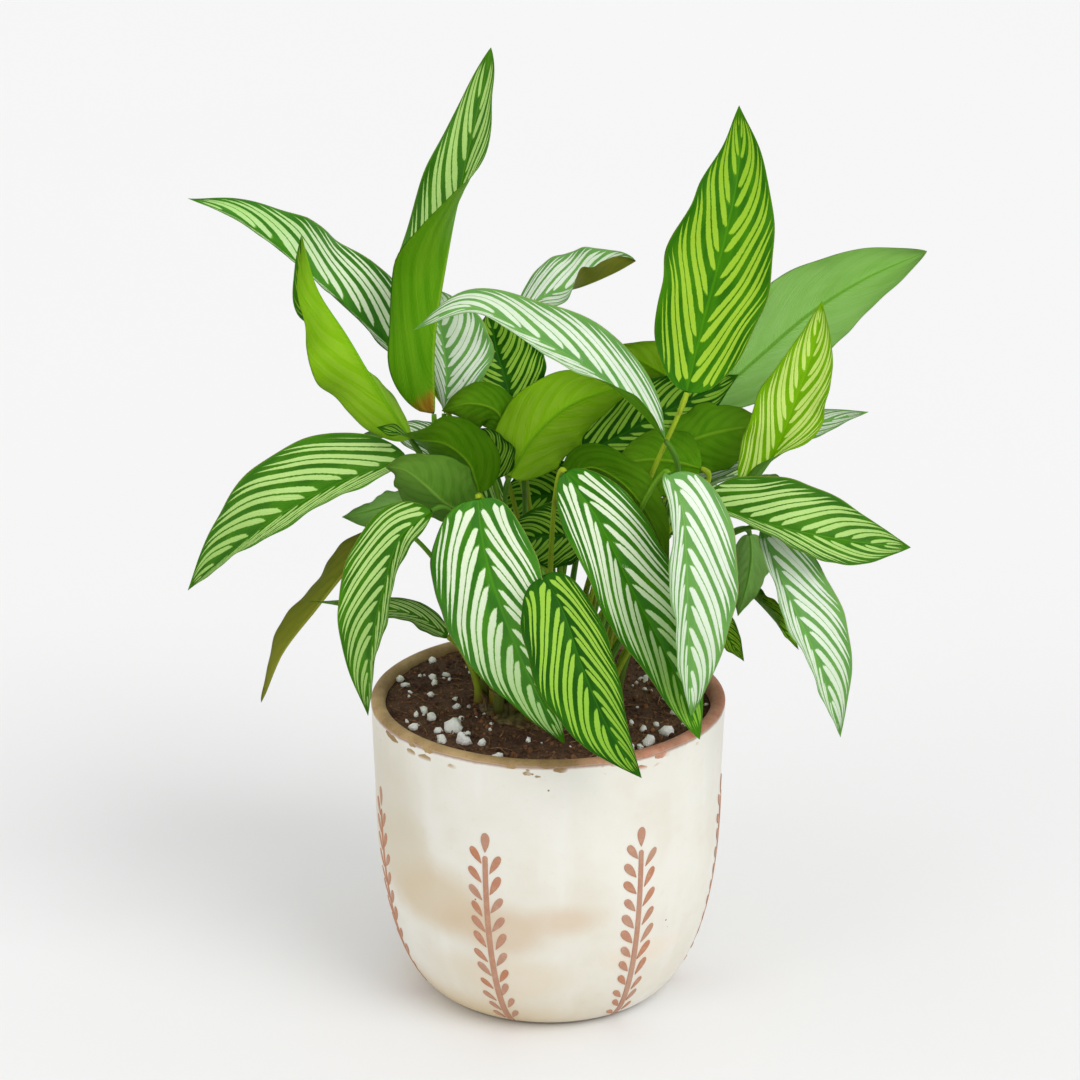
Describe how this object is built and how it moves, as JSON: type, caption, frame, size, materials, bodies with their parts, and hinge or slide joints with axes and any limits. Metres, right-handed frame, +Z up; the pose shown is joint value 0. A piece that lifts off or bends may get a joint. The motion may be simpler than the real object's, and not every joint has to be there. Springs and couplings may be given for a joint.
{
  "type": "potted calathea",
  "caption": "Bushy striped prayer plant on slender arching stems, growing in soil in a rounded cream-glazed terracotta pot; an indoor ornamental.",
  "frame": {"origin": "centre of the pot's foot, at the level of the face it rests on", "axes": "+Z up along the pot's axis; the front of the plant, as pictured, faces -Y; +X is to its right"},
  "size_m": [0.327, 0.2128, 0.423],
  "materials": {
    "leaf": "satin, supple live leaf",
    "glazed_pot": "matte cream glaze over terracotta",
    "potting_soil": "rough, fibrous",
    "root_crown": "rough",
    "perlite": "chalky"
  },
  "bodies": {
    "root": {"pot": "glazed_pot", "soil": "potting_soil", "root_crown": "root_crown", "leaf_01_tall_left": "leaf", "leaf_02_upper_left": "leaf", "leaf_03_bright_left": "leaf", "leaf_04_broad_left": "leaf", "leaf_05_curled_left": "leaf", "leaf_06_folded_left": "leaf", "leaf_07_hanging_left": "leaf", "leaf_08_front_left": "leaf", "leaf_09_narrow_left": "leaf", "leaf_10_small_left": "leaf", "leaf_11_front_centre": "leaf", "leaf_12_front_right": "leaf", "leaf_13_pale_front_right": "leaf", "leaf_14_right": "leaf", "leaf_15_hanging_right": "leaf", "leaf_16_tall_right": "leaf", "leaf_17_back_right": "leaf", "leaf_18_lime_right": "leaf", "leaf_19_centre_arch": "leaf", "leaf_20_back_centre": "leaf", "leaf_21_pale_inner_left": "leaf", "leaf_22_inner_left": "leaf", "leaf_23_bright_centre": "leaf", "leaf_24_bright_back": "leaf", "leaf_25_inner_right": "leaf", "leaf_26_underside_right": "leaf", "leaf_27_underside_front": "leaf", "leaf_28_shaded_low": "leaf", "leaf_29_small_inner_left": "leaf", "leaf_30_slender_right": "leaf", "leaf_31_small_hanging_right": "leaf", "leaf_32_rolled_right": "leaf", "leaf_33_olive_left": "leaf", "leaf_34_small_low_right": "leaf", "leaf_35_underside_inner_left": "leaf", "leaf_36_underside_inner_right": "leaf", "leaf_37_rear_centre": "leaf", "leaf_38_rear_right": "leaf", "leaf_39_rear_low_right": "leaf", "leaf_40_rear_left": "leaf", "leaf_41_shaded_back": "leaf", "leaf_42_rear_high_centre": "leaf", "leaf_43_rear_high_right": "leaf", "leaf_44_rear_low_left": "leaf", "leaf_45_rear_side_right": "leaf", "leaf_46_rear_low_centre": "leaf", "perlite_grain_01": "perlite", "perlite_grain_02": "perlite", "perlite_grain_03": "perlite", "perlite_grain_04": "perlite", "perlite_grain_05": "perlite", "perlite_grain_06": "perlite", "perlite_grain_07": "perlite", "perlite_grain_08": "perlite", "perlite_grain_09": "perlite"}
  },
  "joints": []
}
